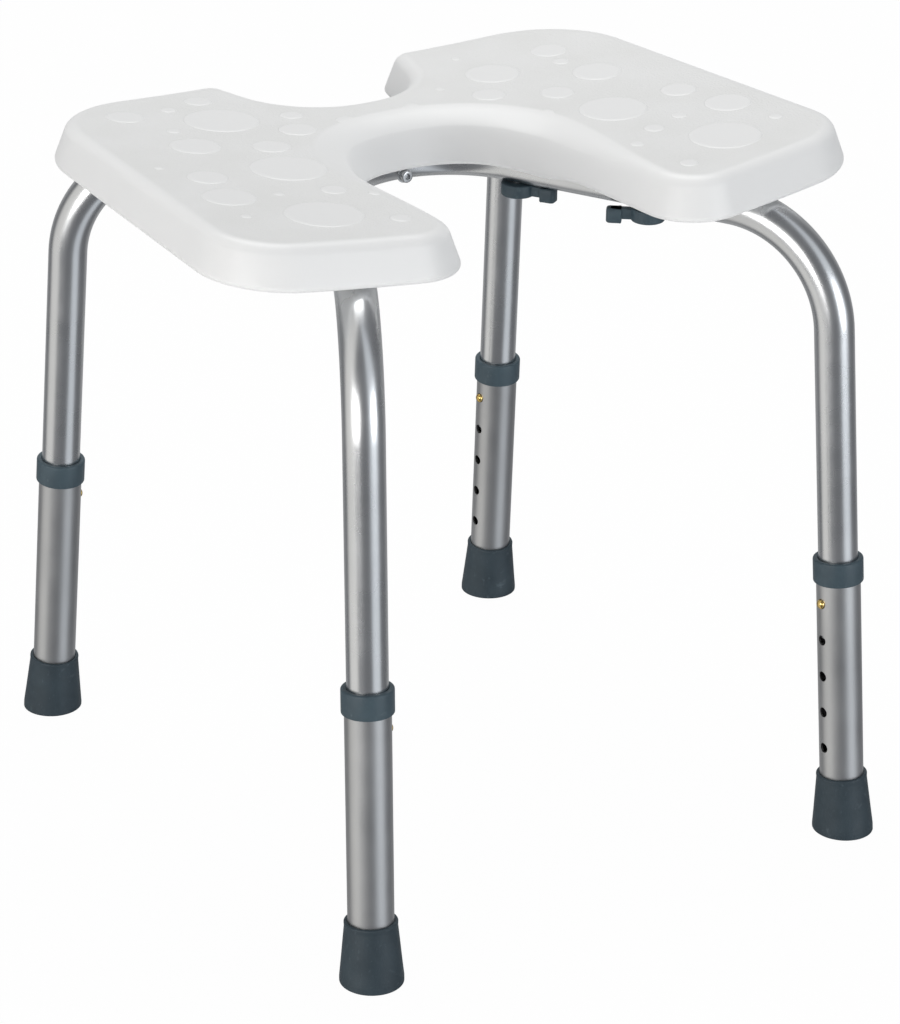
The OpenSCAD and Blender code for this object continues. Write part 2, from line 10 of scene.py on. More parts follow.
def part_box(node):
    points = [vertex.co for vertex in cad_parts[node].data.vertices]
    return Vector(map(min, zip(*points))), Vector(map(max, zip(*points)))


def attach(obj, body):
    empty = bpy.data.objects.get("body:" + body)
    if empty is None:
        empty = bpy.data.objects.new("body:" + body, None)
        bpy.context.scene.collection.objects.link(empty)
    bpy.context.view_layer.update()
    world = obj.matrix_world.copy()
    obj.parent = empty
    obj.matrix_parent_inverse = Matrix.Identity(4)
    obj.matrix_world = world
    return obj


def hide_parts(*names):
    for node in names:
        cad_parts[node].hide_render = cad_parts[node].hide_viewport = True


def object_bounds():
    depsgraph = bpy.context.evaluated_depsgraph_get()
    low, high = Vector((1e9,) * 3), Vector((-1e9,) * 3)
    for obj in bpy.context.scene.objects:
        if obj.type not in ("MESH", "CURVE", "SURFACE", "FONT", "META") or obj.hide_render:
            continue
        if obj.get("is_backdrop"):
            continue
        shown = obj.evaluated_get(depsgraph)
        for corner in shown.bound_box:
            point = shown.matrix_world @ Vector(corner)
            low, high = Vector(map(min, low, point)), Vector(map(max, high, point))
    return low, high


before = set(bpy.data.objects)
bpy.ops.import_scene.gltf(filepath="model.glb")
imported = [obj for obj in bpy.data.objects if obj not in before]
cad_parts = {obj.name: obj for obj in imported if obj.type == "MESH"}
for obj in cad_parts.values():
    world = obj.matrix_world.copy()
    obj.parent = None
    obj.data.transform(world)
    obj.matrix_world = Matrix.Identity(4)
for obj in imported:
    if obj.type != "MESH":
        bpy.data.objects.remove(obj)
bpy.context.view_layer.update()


# ---------- Bent upper tubes ----------
# Two drawn aluminium tubes, satin anodised. Each is bent into a curve under the seat and down
# into two legs. The two curves stand back to back, and their middle bends meet at a bolt.

tube_r = 0.0127
tube_wall = 0.00125
tube_bore_r = tube_r - tube_wall
tube_z = 0.412
bend_r = 0.075
apex_r = 0.073
apex_y = 0.0599
saddle_t = 0.0008
front_apex = -apex_y
rear_apex = apex_y + 2 * tube_r + saddle_t
upper_end = 0.138
top_hole = 0.1625
hole_r = 0.0034
bolt_z = tube_z - 0.006
bolt_r = 0.0025
bore_clear = 0.0002

foot_x = 0.1816
foot_y = 0.2128
lean = Vector((0.0285, 0.0785))
stretch = math.sqrt(1 + lean.length_squared)
corner = Vector((foot_x - lean.x * tube_z, foot_y - lean.y * tube_z))
corners = {
    "front_left": (-1, -1),
    "front_right": (1, -1),
    "rear_left": (-1, 1),
    "rear_right": (1, 1),
}


def leg_place(sx, sy):
    """Turn and place of a leg: z runs up the leg from the floor, x points to its button."""
    return (
        Matrix.Translation((sx * foot_x, sy * foot_y, 0))
        @ Matrix.Rotation(-sx * math.atan(lean.x), 4, "Y")
        @ Matrix.Rotation(sy * math.asin(lean.y / stretch), 4, "X")
        @ Matrix.Rotation(math.pi if sx > 0 else 0, 4, "Z")
    )


def tube_path(apex):
    """Middle line of a tube whose legs are at +Y, from its left lower end to its right one."""
    to_corner = corner - Vector((0, apex + apex_r))
    angle = math.atan2(to_corner.y, to_corner.x) + math.asin(apex_r / to_corner.length)
    turn = math.acos((lean.x * math.cos(angle) + lean.y * math.sin(angle)) / stretch)
    roll = math.atan(lean.y * math.cos(angle) - lean.x * math.sin(angle))
    reach = bend_r * math.tan(turn / 2)
    leg = tube_z * stretch - reach - upper_end
    out = Vector((math.cos(angle), math.sin(angle), 0))
    across = Vector((-out.y * math.cos(roll), out.x * math.cos(roll), math.sin(roll)))
    up = out.cross(across)
    start = Vector((corner.x, corner.y, tube_z)) - reach * out
    half = []
    for k in range(25):
        a = angle * k / 24
        half.append(Vector((apex_r * math.sin(a), apex + apex_r - apex_r * math.cos(a), tube_z)))
    level_end = half[-1]
    half += [level_end.lerp(start, k / 6) for k in range(1, 6)]
    for k in range(33):
        a = turn * k / 32
        half.append(start + bend_r * (math.sin(a) * out + (math.cos(a) - 1) * up))
    down = math.cos(turn) * out - math.sin(turn) * up
    leg_top = half[-1]
    half += [leg_top + down * leg * k / 14 for k in range(1, 15)]
    return [Vector((-p.x, p.y, p.z)) for p in reversed(half[1:])] + half


def node_link(tree, *pairs):
    for a, b in pairs:
        tree.links.new(a, b)


def tree_inputs(tree, **kinds):
    """Adds named inputs to a Geometry Nodes tree and returns their identifiers."""
    ids = {}
    for name, kind in kinds.items():
        socket = tree.interface.new_socket(
            name.replace("_", " "), in_out="INPUT", socket_type="NodeSocket" + kind
        )
        ids[name] = socket.identifier
    return ids


# The sweep: a circle of a given radius and facets along the path, with its material
sweep = bpy.data.node_groups.new("drawn_tube", "GeometryNodeTree")
sweep.is_modifier = True
sweep.interface.new_socket("Geometry", in_out="OUTPUT", socket_type="NodeSocketGeometry")
sweep_ids = tree_inputs(sweep, Path="Geometry", Radius="Float", Facets="Int", Finish="Material")
sweep_in = sweep.nodes.new("NodeGroupInput")
sweep_out = sweep.nodes.new("NodeGroupOutput")
to_curve = sweep.nodes.new("GeometryNodeMeshToCurve")
circle = sweep.nodes.new("GeometryNodeCurvePrimitiveCircle")
along = sweep.nodes.new("GeometryNodeCurveToMesh")
realize = sweep.nodes.new("GeometryNodeRealizeInstances")
coat = sweep.nodes.new("GeometryNodeSetMaterial")
node_link(
    sweep,
    (sweep_in.outputs["Path"], to_curve.inputs["Mesh"]),
    (sweep_in.outputs["Radius"], circle.inputs["Radius"]),
    (sweep_in.outputs["Facets"], circle.inputs["Resolution"]),
    (to_curve.outputs["Curve"], along.inputs["Curve"]),
    (circle.outputs["Curve"], along.inputs["Profile Curve"]),
    (along.outputs["Mesh"], realize.inputs["Geometry"]),
    (realize.outputs["Geometry"], coat.inputs["Geometry"]),
    (sweep_in.outputs["Finish"], coat.inputs["Material"]),
    (coat.outputs["Geometry"], sweep_out.inputs["Geometry"]),
)


def new_object(name, mesh):
    obj = bpy.data.objects.new(name, mesh)
    bpy.context.scene.collection.objects.link(obj)
    return obj


def settled(obj, *helpers):
    """Plain mesh of an object with its modifiers applied; the object and helpers are removed."""
    view = bpy.context.evaluated_depsgraph_get()
    mesh = bpy.data.meshes.new_from_object(obj.evaluated_get(view))
    for o in (obj, *helpers):
        bpy.data.objects.remove(o)
    return mesh


def outward(mesh):
    """Merges doubles and turns the faces outwards."""
    bm = bmesh.new()
    bm.from_mesh(mesh)
    bmesh.ops.remove_doubles(bm, verts=bm.verts, dist=2e-6)
    bmesh.ops.recalc_face_normals(bm, faces=bm.faces)
    bm.to_mesh(mesh)
    bm.free()
    return mesh


def piece(name, mesh, finish, body, slot, *nodes, sharp=32):
    """Makes a mesh a finished piece that rides on a body and stands for its CAD nodes."""
    mesh.materials.clear()
    mesh.materials.append(finish)
    mesh.shade_smooth()
    mesh.set_sharp_from_angle(angle=math.radians(sharp))
    obj = new_object(name, mesh)
    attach(obj, body)
    if nodes:
        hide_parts(*nodes)
    return obj


def cut_with(obj, cutter, operation="DIFFERENCE"):
    cut = obj.modifiers.new("cut", "BOOLEAN")
    cut.operation = operation
    cut.solver = "MANIFOLD"
    cut.object = cutter


def baked(name, bm):
    """Mesh of a bmesh, which is freed."""
    mesh = bpy.data.meshes.new(name)
    bm.to_mesh(mesh)
    bm.free()
    return mesh


def drills(name, holes):
    """One mesh of round drills, each given by its middle, its direction, radius and length."""
    bm = bmesh.new()
    for middle, direction, r, length in holes:
        turn = Vector(direction).to_track_quat("Z", "Y").to_matrix().to_4x4()
        bmesh.ops.create_cone(
            bm, cap_ends=True, segments=48, radius1=r, radius2=r, depth=length,
            matrix=Matrix.Translation(middle) @ turn,
        )
    return new_object(name, baked(name, bm))


def swept_bar(name, path, r, finish, facets=72, wall=0.0):
    """A bar swept along a path, or a tube where a wall is given."""
    mesh = bpy.data.meshes.new(name)
    mesh.from_pydata(path, [(i, i + 1) for i in range(len(path) - 1)], [])
    obj = new_object(name, mesh)
    mod = obj.modifiers.new("sweep", "NODES")
    mod.node_group = sweep
    mod[sweep_ids["Radius"]] = r
    mod[sweep_ids["Facets"]] = facets
    mod[sweep_ids["Finish"]] = finish
    if wall:
        shell = obj.modifiers.new("wall", "SOLIDIFY")
        shell.thickness = wall
        shell.offset = -1
    return obj


def shader_group(name, inputs, outputs):
    """A new shader group with sockets of given kinds, its input node and its output node."""
    group = bpy.data.node_groups.new(name, "ShaderNodeTree")
    for sockets, way in ((inputs, "INPUT"), (outputs, "OUTPUT")):
        for title, kind in sockets.items():
            group.interface.new_socket(title, in_out=way, socket_type="NodeSocket" + kind)
    return group, group.nodes.new("NodeGroupInput"), group.nodes.new("NodeGroupOutput")


# Soft variation of a surface, as cloudy patches between two values
cloud, cloud_in, cloud_out = shader_group(
    "soft_cloud", {"Scale": "Float", "Low": "Float", "High": "Float"}, {"Value": "Float"})
cloud_place = cloud.nodes.new("ShaderNodeTexCoord")
cloud_noise = cloud.nodes.new("ShaderNodeTexNoise")
cloud_noise.inputs["Detail"].default_value = 3
cloud_range = cloud.nodes.new("ShaderNodeMapRange")
cloud_range.inputs["From Min"].default_value = 0.32
cloud_range.inputs["From Max"].default_value = 0.68
node_link(
    cloud,
    (cloud_place.outputs["Object"], cloud_noise.inputs["Vector"]),
    (cloud_in.outputs["Scale"], cloud_noise.inputs["Scale"]),
    (cloud_noise.outputs["Fac"], cloud_range.inputs["Value"]),
    (cloud_in.outputs["Low"], cloud_range.inputs["To Min"]),
    (cloud_in.outputs["High"], cloud_range.inputs["To Max"]),
    (cloud_range.outputs["Result"], cloud_out.inputs["Value"]),
)

# Fine marks of handling: short thin strokes, as a mask
scuffs, scuffs_in, scuffs_out = shader_group(
    "handling_marks", {"Scale": "Float", "Share": "Float"}, {"Mask": "Float"})
scuffs_place = scuffs.nodes.new("ShaderNodeTexCoord")
scuffs_stretch = scuffs.nodes.new("ShaderNodeMapping")
scuffs_stretch.inputs["Rotation"].default_value = (0.5, 0.3, 0.8)
scuffs_stretch.inputs["Scale"].default_value = (1.0, 6.0, 2.5)
scuffs_noise = scuffs.nodes.new("ShaderNodeTexNoise")
scuffs_noise.inputs["Detail"].default_value = 5
scuffs_noise.inputs["Roughness"].default_value = 0.62
scuffs_range = scuffs.nodes.new("ShaderNodeMapRange")
scuffs_range.inputs["From Max"].default_value = 0.8
node_link(
    scuffs,
    (scuffs_place.outputs["Object"], scuffs_stretch.inputs["Vector"]),
    (scuffs_stretch.outputs["Vector"], scuffs_noise.inputs["Vector"]),
    (scuffs_in.outputs["Scale"], scuffs_noise.inputs["Scale"]),
    (scuffs_noise.outputs["Fac"], scuffs_range.inputs["Value"]),
    (scuffs_in.outputs["Share"], scuffs_range.inputs["From Min"]),
    (scuffs_range.outputs["Result"], scuffs_out.inputs["Mask"]),
)


def finish_nodes(name):
    """A new material with its node tree and its Principled BSDF."""
    mat = bpy.data.materials.new(name)
    mat.use_nodes = True
    return mat, mat.node_tree, mat.node_tree.nodes["Principled BSDF"]


def placed_group(tree, group, **values):
    node = tree.nodes.new("ShaderNodeGroup")
    node.node_tree = group
    for name, value in values.items():
        node.inputs[name].default_value = value
    return node


def colour_mix(tree, share, first, second):
    """Mix of two colours by a share that changes over the surface."""
    mix = tree.nodes.new("ShaderNodeMix")
    mix.data_type = "RGBA"
    mix.inputs["A"].default_value = (*first, 1)
    mix.inputs["B"].default_value = (*second, 1)
    tree.links.new(share, mix.inputs["Factor"])
    return mix.outputs["Result"]


def satin_metal(name, dark, light, smooth, rough, cloud_scale=14, mark_scale=160):
    """Metal with cloudy colour and roughness and a faint relief of fine marks."""
    mat, tree, shader = finish_nodes(name)
    shader.inputs["Metallic"].default_value = 1
    tone = placed_group(tree, cloud, Scale=cloud_scale, Low=0, High=1)
    sheen = placed_group(tree, cloud, Scale=cloud_scale * 2.3, Low=smooth, High=rough)
    marks = placed_group(tree, scuffs, Scale=mark_scale, Share=0.5)
    relief = tree.nodes.new("ShaderNodeBump")
    relief.inputs["Strength"].default_value = 0.12
    relief.inputs["Distance"].default_value = 0.00005
    node_link(
        tree,
        (colour_mix(tree, tone.outputs["Value"], dark, light), shader.inputs["Base Color"]),
        (sheen.outputs["Value"], shader.inputs["Roughness"]),
        (marks.outputs["Mask"], relief.inputs["Height"]),
        (relief.outputs["Normal"], shader.inputs["Normal"]),
    )
    return mat


upper_finish = satin_metal("satin_aluminium", (0.66, 0.67, 0.68), (0.73, 0.74, 0.75), 0.25, 0.32)

stud_places = {}
for side in ("left", "right"):
    for row in ("inner", "outer"):
        low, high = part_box(f"stud_{row}_{side}")
        stud_places[row, side] = (low + high) / 2

for end, apex, sy in (("front", front_apex, -1), ("rear", rear_apex, 1)):
    path = tube_path(apex)
    if end == "front":
        path = [Vector((-p.x, -p.y, p.z)) for p in path]
    holes = [((0, sy * apex, bolt_z), (0, 1, 0), bolt_r + bore_clear, 0.06)]
    for sx in (-1, 1):
        place = leg_place(sx, sy)
        holes.append((place @ Vector((0.012, 0, top_hole)), place.to_3x3() @ Vector((1, 0, 0)),
                      hole_r, 0.012))
    if end == "front":
        holes += [((p.x, p.y, tube_z), (0, 0, 1), 0.0033, 0.05) for p in stud_places.values()]
    bar = swept_bar("bar_" + end, path, tube_r, upper_finish, wall=tube_wall)
    drill = drills("drill", holes)
    cut_with(bar, drill)
    piece("bent_tube_" + end, outward(settled(bar, drill)), upper_finish, "frame",
          "upper_aluminium", end + "_tube")


# ---------- Bolt joint of the two tubes ----------
# A zinc-plated round-head screw with a hexagon socket, two washers and a nut clamp the middle
# bends on a plastic saddle.

washer_t = 0.0012
washer_r = 0.005
head_r = 0.0042
head_h = 0.004
key_r = 0.0023
key_depth = 0.002
shank_tail = 0.002
nut_h = 0.0045
nut_across = 0.008
hollow_r = apex_r - tube_r
washer_stand = hollow_r - math.sqrt(hollow_r ** 2 - washer_r ** 2)
bolt_front = apex_y - tube_r - washer_stand
bolt_rear = rear_apex + tube_r + washer_stand


def rounded(corners_, steps=5):
    """Corners (x, y, radius) of a line with their roundings worked out."""
    points = []
    for i, (x, y, r) in enumerate(corners_):
        here = Vector((x, y))
        if not r:
            points.append(here)
            continue
        before = Vector(corners_[i - 1][:2]) - here
        after = Vector(corners_[(i + 1) % len(corners_)][:2]) - here
        half = before.angle(after) / 2
        lead = min(r / math.tan(half), 0.499 * before.length, 0.499 * after.length)
        r = lead * math.tan(half)
        middle = here + (before.normalized() + after.normalized()).normalized() * r / math.sin(half)
        a, b = here + before.normalized() * lead - middle, here + after.normalized() * lead - middle
        sweep_angle = a.angle_signed(b)
        for k in range(steps + 1):
            points.append(middle + Matrix.Rotation(-sweep_angle * k / steps, 2) @ a)
    return points


def turned(name, section, facets=96, place=Matrix()):
    """Spins a closed half section (r, z) about z; points on the axis become poles."""
    verts, faces, rings = [], [], []
    for p in section:
        if p[0] < 1e-7:
            rings.append([len(verts)] * facets)
            verts.append((0, 0, p[1]))
        else:
            rings.append([len(verts) + k for k in range(facets)])
            for k in range(facets):
                a = math.tau * k / facets
                verts.append((p[0] * math.cos(a), p[0] * math.sin(a), p[1]))
    for i, ring in enumerate(rings):
        after = rings[(i + 1) % len(rings)]
        if ring[0] == ring[1] and after[0] == after[1]:
            continue
        for k in range(facets):
            n = (k + 1) % facets
            face = [ring[k], ring[n], after[n], after[k]]
            faces.append([v for j, v in enumerate(face) if v not in face[:j]])
    mesh = bpy.data.meshes.new(name)
    mesh.from_pydata(verts, [], faces)
    mesh.transform(place)
    return outward(mesh)


steel_finish = satin_metal("zinc_plated_steel", (0.55, 0.56, 0.57), (0.66, 0.67, 0.68), 0.22, 0.34,
                           90, 700)
bolt_place = Matrix.Translation((0, bolt_front - washer_t, bolt_z)) @ Matrix.Rotation(
    -math.pi / 2, 4, "X")
shank_end = bolt_rear - bolt_front + 2 * washer_t + nut_h + shank_tail
pitch = 0.001
thread_depth = 0.00035
thread_length = 0.0065
thread = []
for k in range(6):
    z = shank_end - thread_length + pitch * k
    thread += [(bolt_r, z), (bolt_r - thread_depth, z + pitch / 2)]
head = rounded([(0, -head_h, 0), (head_r, -head_h, 0.0012), (head_r, 0, 0.0001), (bolt_r, 0, 0)])
tail = rounded([(bolt_r, shank_end - 0.0004, 0), (bolt_r - 0.0004, shank_end, 0),
                (0, shank_end, 0)])
screw = new_object("screw", turned("screw", head + thread + tail, 72, bolt_place))


def hexagon(name, r, depth, place):
    bm = bmesh.new()
    bmesh.ops.create_cone(bm, cap_ends=True, segments=6, radius1=r, radius2=r, depth=depth,
                          matrix=place)
    return new_object(name, baked(name, bm))


key = hexagon("key", key_r, 2 * key_depth, bolt_place @ Matrix.Translation((0, 0, -head_h)))
cut_with(screw, key)
piece("centre_screw", outward(settled(screw, key)), steel_finish, "frame", "fastener_steel",
      "centre_bolt")

ring_section = rounded([
    (bolt_r + bore_clear, 0, 0), (washer_r, 0, 0.0003),
    (washer_r, washer_t, 0.0003), (bolt_r + bore_clear, washer_t, 0)], 3)
washers = bmesh.new()
for y in (bolt_front - washer_t, bolt_rear):
    place = Matrix.Translation((0, y, bolt_z)) @ Matrix.Rotation(-math.pi / 2, 4, "X")
    washers.from_mesh(turned("washer", ring_section, 64, place))
piece("washers", baked("washers", washers), steel_finish, "frame", "fastener_steel",
      "centre_washers")

nut_place = Matrix.Translation((0, bolt_rear + washer_t, bolt_z)) @ Matrix.Rotation(
    -math.pi / 2, 4, "X")
nut_rim = nut_across / 2 / math.cos(math.pi / 6)
nut = hexagon("nut", nut_rim, nut_h, nut_place @ Matrix.Translation((0, 0, nut_h / 2)))
crown = new_object("crown", turned("crown", [
    (bolt_r + 0.00002, -0.001), (nut_rim, -0.001), (nut_rim, nut_h - 0.0007),
    (nut_across / 2 - 0.0002, nut_h), (nut_across / 2 - 0.0002, nut_h + 0.001),
    (bolt_r + 0.00002, nut_h + 0.001)], 72, nut_place))
cut_with(nut, crown, "INTERSECT")
piece("nut", outward(settled(nut, crown)), steel_finish, "frame", "fastener_steel", "centre_nut")


# ---------- Telescopic lower tubes ----------
# Four wider aluminium tubes, matt anodised, that slide on the legs. Each has a row of five
# drilled holes for the spring button, on the side that faces the middle.

lower_bore_r = tube_r + 0.0003
lower_r = lower_bore_r + 0.0013
lower_foot = 0.0095
lower_top = 0.189
hole_pitch = 0.0254
hole_count = 5

drilled = bpy.data.node_groups.new("drilled_tube", "GeometryNodeTree")
drilled.is_modifier = True
drilled.interface.new_socket("Geometry", in_out="OUTPUT", socket_type="NodeSocketGeometry")
drilled_ids = tree_inputs(
    drilled, Outer_radius="Float", Bore_radius="Float", Lower_end="Float", Length="Float",
    Hole_radius="Float", Top_hole="Float", Pitch="Float", Count="Int", Finish="Material")
values = drilled.nodes.new("NodeGroupInput")
drilled_out = drilled.nodes.new("NodeGroupOutput")


def tree_math(tree, operation, a, b=None):
    node = tree.nodes.new("ShaderNodeMath")
    node.operation = operation
    for socket, value in zip(node.inputs, (a, b)):
        if isinstance(value, (int, float)):
            socket.default_value = value
        elif value is not None:
            tree.links.new(value, socket)
    return node.outputs["Value"]


def tree_vector(tree, x=0, y=0, z=0):
    node = tree.nodes.new("ShaderNodeCombineXYZ")
    for socket, value in zip(node.inputs, (x, y, z)):
        if isinstance(value, (int, float)):
            socket.default_value = value
        else:
            tree.links.new(value, socket)
    return node.outputs["Vector"]


def tree_cylinder(tree, radius, depth, rows, facets):
    node = tree.nodes.new("GeometryNodeMeshCylinder")
    node.inputs["Vertices"].default_value = facets
    node.inputs["Side Segments"].default_value = rows
    for name, value in (("Radius", radius), ("Depth", depth)):
        tree.links.new(value, node.inputs[name])
    return node.outputs["Mesh"]


middle = tree_math(drilled, "ADD", values.outputs["Lower end"],
                   tree_math(drilled, "MULTIPLY", values.outputs["Length"], 0.5))
bar_mesh = tree_cylinder(drilled, values.outputs["Outer radius"], values.outputs["Length"], 44, 96)
bore_mesh = tree_cylinder(drilled, values.outputs["Bore radius"],
                          tree_math(drilled, "ADD", values.outputs["Length"], 0.01), 1, 96)
drill_mesh = tree_cylinder(drilled, values.outputs["Hole radius"],
                           values.outputs["Outer radius"], 1, 48)
turn_drill = drilled.nodes.new("GeometryNodeTransform")
turn_drill.inputs["Rotation"].default_value = (0, math.pi / 2, 0)
row = drilled.nodes.new("GeometryNodeMeshLine")
row.mode = "OFFSET"
drill_row = drilled.nodes.new("GeometryNodeInstanceOnPoints")
real_row = drilled.nodes.new("GeometryNodeRealizeInstances")
remove = drilled.nodes.new("GeometryNodeMeshBoolean")
remove.operation = "DIFFERENCE"
remove.solver = "MANIFOLD"
stand = drilled.nodes.new("GeometryNodeTransform")
real_tube = drilled.nodes.new("GeometryNodeRealizeInstances")
drilled_coat = drilled.nodes.new("GeometryNodeSetMaterial")
node_link(
    drilled,
    (drill_mesh, turn_drill.inputs["Geometry"]),
    (tree_vector(drilled, values.outputs["Outer radius"], 0,
                 tree_math(drilled, "SUBTRACT", values.outputs["Top hole"], middle)),
     row.inputs["Start Location"]),
    (tree_vector(drilled, z=tree_math(drilled, "MULTIPLY", values.outputs["Pitch"], -1)),
     row.inputs["Offset"]),
    (values.outputs["Count"], row.inputs["Count"]),
    (row.outputs["Mesh"], drill_row.inputs["Points"]),
    (turn_drill.outputs["Geometry"], drill_row.inputs["Instance"]),
    (drill_row.outputs["Instances"], real_row.inputs["Geometry"]),
    (bar_mesh, remove.inputs["Mesh 1"]),
    (bore_mesh, remove.inputs["Mesh 2"]),
    (real_row.outputs["Geometry"], remove.inputs["Mesh 2"]),
    (remove.outputs["Mesh"], stand.inputs["Geometry"]),
    (tree_vector(drilled, z=middle), stand.inputs["Translation"]),
    (stand.outputs["Geometry"], real_tube.inputs["Geometry"]),
    (real_tube.outputs["Geometry"], drilled_coat.inputs["Geometry"]),
    (values.outputs["Finish"], drilled_coat.inputs["Material"]),
    (drilled_coat.outputs["Geometry"], drilled_out.inputs["Geometry"]),
)

lower_finish = satin_metal("matt_aluminium", (0.52, 0.525, 0.53), (0.58, 0.585, 0.59), 0.38, 0.45)
for name, (sx, sy) in corners.items():
    blank = new_object("blank", bpy.data.meshes.new("blank"))
    mod = blank.modifiers.new("drilled", "NODES")
    mod.node_group = drilled
    for key_name, value in (
            ("Outer_radius", lower_r), ("Bore_radius", lower_bore_r), ("Lower_end", lower_foot),
            ("Length", lower_top - lower_foot), ("Hole_radius", hole_r), ("Top_hole", top_hole),
            ("Pitch", hole_pitch), ("Count", hole_count), ("Finish", lower_finish)):
        mod[drilled_ids[key_name]] = value
    mesh = settled(blank)
    mesh.transform(leg_place(sx, sy))
    piece("drilled_tube_" + name, outward(mesh), lower_finish, "leg_" + name, "lower_aluminium",
          "lower_tube_" + name)


# ---------- Spring buttons ----------
# A turned brass button with a domed end on a leaf spring of steel. The button stands through the
# upper and the lower tube and locks the leg's length.

button_r = hole_r - 0.0003
button_end = lower_r + 0.0026
dome_h = 0.0016
spring_x = math.sqrt(tube_bore_r ** 2 - 0.004 ** 2) - 0.0001
ball_r = (button_r ** 2 + dome_h ** 2) / (2 * dome_h)
button_section = [(0, spring_x - 0.0013), (0.0013, spring_x - 0.0013), (0.0013, spring_x),
                  (button_r, spring_x), (button_r, button_end - dome_h - 0.0002)]
for k in range(9):
    a = math.asin(button_r / ball_r) * (1 - k / 8)
    button_section.append((ball_r * math.sin(a) * (1 if k else 0.985),
                           button_end - ball_r + ball_r * math.cos(a)))
brass_finish = satin_metal("turned_brass", (0.62, 0.42, 0.13), (0.78, 0.57, 0.22), 0.16, 0.27,
                           160, 900)


def coat_node(name, finish):
    """Gives a CAD node that is shown as it is its material."""
    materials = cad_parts[name].data.materials
    materials.clear()
    materials.append(finish)


for name, (sx, sy) in corners.items():
    place = leg_place(sx, sy) @ Matrix.Translation((0, 0, top_hole)) @ Matrix.Rotation(
        math.pi / 2, 4, "Y")
    piece("brass_button_" + name, turned("button", button_section, 48, place), brass_finish,
          "push_button_" + name, "brass", "button_" + name)
    coat_node("button_spring_" + name, steel_finish)


# ---------- Collars ----------
# Injection-moulded slate-blue collars, pressed on the tops of the lower tubes. Their lips guide
# the upper tubes.

collar_r = lower_r + 0.0019
collar_low = 0.1758
collar_high = 0.192
collar_lip = 0.003
collar_fit = 0.00002
guide_r = tube_r + 0.00015


def moulded(name, dark, light, mark, smooth, rough, grain_scale, grain_depth):
    """Moulded plastic or rubber: cloudy tone, pale marks of handling and a fine skin."""
    mat, tree, shader = finish_nodes(name)
    tone = placed_group(tree, cloud, Scale=55, Low=0, High=1)
    sheen = placed_group(tree, cloud, Scale=120, Low=smooth, High=rough)
    marks = placed_group(tree, scuffs, Scale=85, Share=0.6)
    skin = placed_group(tree, cloud, Scale=grain_scale, Low=0, High=1)
    body_colour = colour_mix(tree, tone.outputs["Value"], dark, light)
    worn = tree.nodes.new("ShaderNodeMix")
    worn.data_type = "RGBA"
    worn.inputs["B"].default_value = (*mark, 1)
    relief = tree.nodes.new("ShaderNodeBump")
    relief.inputs["Strength"].default_value = 0.5
    relief.inputs["Distance"].default_value = grain_depth
    node_link(
        tree,
        (marks.outputs["Mask"], worn.inputs["Factor"]),
        (body_colour, worn.inputs["A"]),
        (worn.outputs["Result"], shader.inputs["Base Color"]),
        (sheen.outputs["Value"], shader.inputs["Roughness"]),
        (skin.outputs["Value"], relief.inputs["Height"]),
        (relief.outputs["Normal"], shader.inputs["Normal"]),
    )
    return mat


slate_finish = moulded("slate_plastic", (0.043, 0.070, 0.088), (0.055, 0.088, 0.108),
                       (0.10, 0.14, 0.16), 0.42, 0.5, 2600, 0.00006)
collar_section = rounded([
    (lower_r + collar_fit, collar_low, 0.0003), (collar_r, collar_low, 0.0012),
    (collar_r, collar_high, 0.0014), (guide_r, collar_high, 0.0006),
    (guide_r, collar_high - collar_lip, 0), (lower_r + collar_fit, collar_high - collar_lip, 0)])
for name, (sx, sy) in corners.items():
    piece("slate_collar_" + name, turned("collar", collar_section, 96, leg_place(sx, sy)),
          slate_finish, "leg_" + name, "dark_plastic", "collar_" + name)


# ---------- Feet ----------
# Rubber ferrules in a darker slate blue, with a rolled top lip and a wide base, pushed on the
# lower tubes over a steel washer. Their soles are level with the floor.

foot_h = 0.04
foot_sole = 0.008
base_r = 0.0199
lip_r = 0.0167
rubber_finish = moulded("slate_rubber", (0.022, 0.038, 0.050), (0.032, 0.052, 0.066),
                        (0.075, 0.105, 0.125), 0.5, 0.62, 1700, 0.00008)
foot_section = rounded([
    (0, -0.006, 0), (base_r, -0.006, 0), (base_r, 0.0025, 0.002), (base_r - 0.0011, 0.013, 0.003),
    (lip_r - 0.0002, foot_h - 0.0035, 0.004), (lip_r, foot_h, 0.0012),
    (lower_r + 0.00002, foot_h, 0.0006), (lower_r + 0.00002, foot_sole, 0.0002),
    (0, foot_sole, 0)])
groove_middles = (0.0065, 0.0115, 0.0165)
for name, (sx, sy) in corners.items():
    foot_mesh = turned("foot", foot_section, 96, leg_place(sx, sy))
    bm = bmesh.new()
    bm.from_mesh(foot_mesh)
    bmesh.ops.bisect_plane(bm, geom=bm.verts[:] + bm.edges[:] + bm.faces[:], plane_co=(0, 0, 0),
                           plane_no=(0, 0, 1), clear_inner=True)
    bmesh.ops.holes_fill(bm, edges=[e for e in bm.edges if e.is_boundary])
    bm.to_mesh(foot_mesh)
    bm.free()
    foot_blank = new_object("foot_blank", outward(foot_mesh))
    tread = bmesh.new()
    for r in groove_middles:
        tread.from_mesh(turned("tread", [
            (r - 0.0009, -0.001), (r + 0.0009, -0.001), (r + 0.0006, 0.0009),
            (r - 0.0006, 0.0009)], 72, Matrix.Translation((sx * foot_x, sy * foot_y, 0))))
    cutter = new_object("tread", baked("tread", tread))
    cut_with(foot_blank, cutter)
    piece("rubber_foot_" + name, outward(settled(foot_blank, cutter)), rubber_finish,
          "leg_" + name, "foot_rubber", "foot_" + name)
    coat_node("foot_washer_" + name, steel_finish)


# ---------- Lever locks ----------
# Four plastic levers with round hubs turn on threaded studs. The studs pass through the front
# tube into brass inserts in the seat, and pull the seat down on the tubes.

